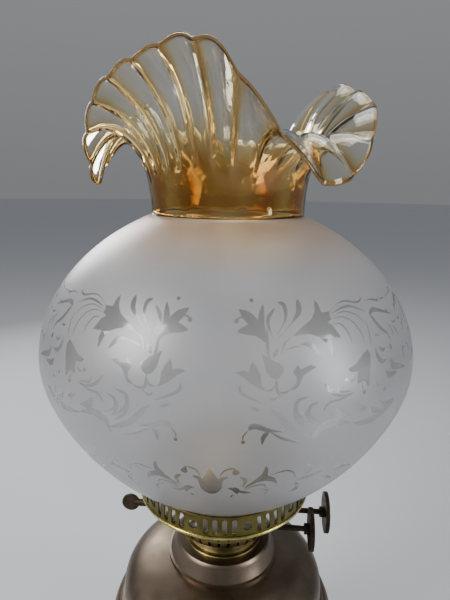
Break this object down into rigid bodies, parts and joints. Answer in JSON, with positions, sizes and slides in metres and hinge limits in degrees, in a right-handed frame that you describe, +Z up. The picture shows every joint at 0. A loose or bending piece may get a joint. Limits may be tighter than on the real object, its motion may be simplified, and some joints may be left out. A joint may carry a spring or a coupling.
{
  "type": "oil lamp",
  "caption": "Oil lamp with a drop-in font in a vase base, twin flat-wick burner, pierced shade gallery and a blown globe shade with a crimped rim.",
  "frame": {"origin": "centre of the underside of the felt pad, on the lamp's axis", "axes": "+Z up along the lamp's axis, +X towards the wick winder knobs, -Y towards the front"},
  "size_m": [0.21, 0.21, 0.4784],
  "materials": {
    "felt": "matt wool felt",
    "bronze": "satin bronze lacquer",
    "iron": "rough cast",
    "steel": "plain turned",
    "font_bronze": "satin bronze lacquer",
    "brass": "satin, slightly aged",
    "dark_brass": "aged and dark",
    "tarnished": "almost black tarnish",
    "cotton": "woven cotton",
    "frosted_glass": "acid-etched satin",
    "amber_glass": "clear with an amber lustre"
  },
  "bodies": {
    "lamp_base": {"felt_pad": "felt", "foot": "bronze", "ballast_weight": "iron", "tie_rod": "steel", "foot_nut": "steel", "foot_washer": "steel", "waist_knop": "bronze", "vase_body": "bronze", "vase_rim": "bronze", "vase_washer": "steel", "vase_nut": "steel"},
    "font": {"font_shell": "font_bronze", "font_pan": "font_bronze", "font_flange": "font_bronze", "font_collar": "brass"},
    "burner": {"burner_collar": "brass", "air_basket": "dark_brass", "burner_plate": "brass", "wick_tube_front": "brass", "wick_tube_rear": "brass", "winder_bracket": "brass", "winder_bush_front": "brass", "winder_bush_rear": "brass", "lever_bush": "brass"},
    "winder_front": {"winder_shaft_front": "tarnished", "winder_knob_front": "tarnished", "winder_sprockets_front": "brass"},
    "winder_rear": {"winder_shaft_rear": "tarnished", "winder_knob_rear": "tarnished", "winder_sprockets_rear": "brass"},
    "front_wick": {"wick_front": "cotton"},
    "rear_wick": {"wick_rear": "cotton"},
    "lever": {"lever_shaft": "tarnished", "lever_tab": "tarnished", "lever_crank": "brass"},
    "extinguisher": {"extinguisher_sleeves": "brass", "extinguisher_yoke": "brass"},
    "dome": {"flame_dome": "brass"},
    "gallery": {"gallery_band": "brass", "gallery_bead": "brass", "gallery_floor": "brass", "chimney_crown": "brass"},
    "shade": {"shade_globe": "frosted_glass", "shade_frill": "amber_glass"}
  },
  "joints": [
    {"name": "font_lift", "type": "slide", "parent": "lamp_base", "child": "font", "axis": [0, 0, 1], "range_m": [0, 0.055]},
    {"name": "burner_lift", "type": "slide", "parent": "font", "child": "burner", "axis": [0, 0, 1], "range_m": [0, 0.085]},
    {"name": "front_winder_turn", "type": "hinge", "parent": "burner", "child": "winder_front", "pos_m": [-0.00067, -0.00847, 0.2075], "axis": [0.9969, -0.0785, 0], "range_deg": [-60, 120]},
    {"name": "rear_winder_turn", "type": "hinge", "parent": "burner", "child": "winder_rear", "pos_m": [0.00067, 0.00847, 0.2075], "axis": [-0.9969, 0.0785, 0], "range_deg": [-60, 120]},
    {"name": "front_wick_rise", "type": "slide", "parent": "burner", "child": "front_wick", "axis": [0, 0, 1], "range_m": [-0.0043, 0.0085]},
    {"name": "rear_wick_rise", "type": "slide", "parent": "burner", "child": "rear_wick", "axis": [0, 0, 1], "range_m": [-0.0043, 0.0085]},
    {"name": "lever_turn", "type": "hinge", "parent": "burner", "child": "lever", "pos_m": [0, 0, 0.212], "axis": [0.9969, -0.0785, 0], "range_deg": [0, 35]},
    {"name": "extinguisher_rise", "type": "slide", "parent": "burner", "child": "extinguisher", "axis": [0, 0, 1], "range_m": [0, 0.0055]},
    {"name": "dome_lift", "type": "slide", "parent": "burner", "child": "dome", "axis": [0, 0, 1], "range_m": [0, 0.03]},
    {"name": "gallery_lift", "type": "slide", "parent": "burner", "child": "gallery", "axis": [0, 0, 1], "range_m": [0, 0.03]},
    {"name": "shade_lift", "type": "slide", "parent": "gallery", "child": "shade", "axis": [0, 0, 1], "range_m": [0, 0.06]}
  ],
  "couplings": [
    {"joint": "front_wick_rise", "follows": "front_winder_turn", "m_per_rad": 0.0039},
    {"joint": "rear_wick_rise", "follows": "rear_winder_turn", "m_per_rad": 0.0039},
    {"joint": "lever_turn", "follows": "extinguisher_rise", "rad_per_m": 110}
  ]
}
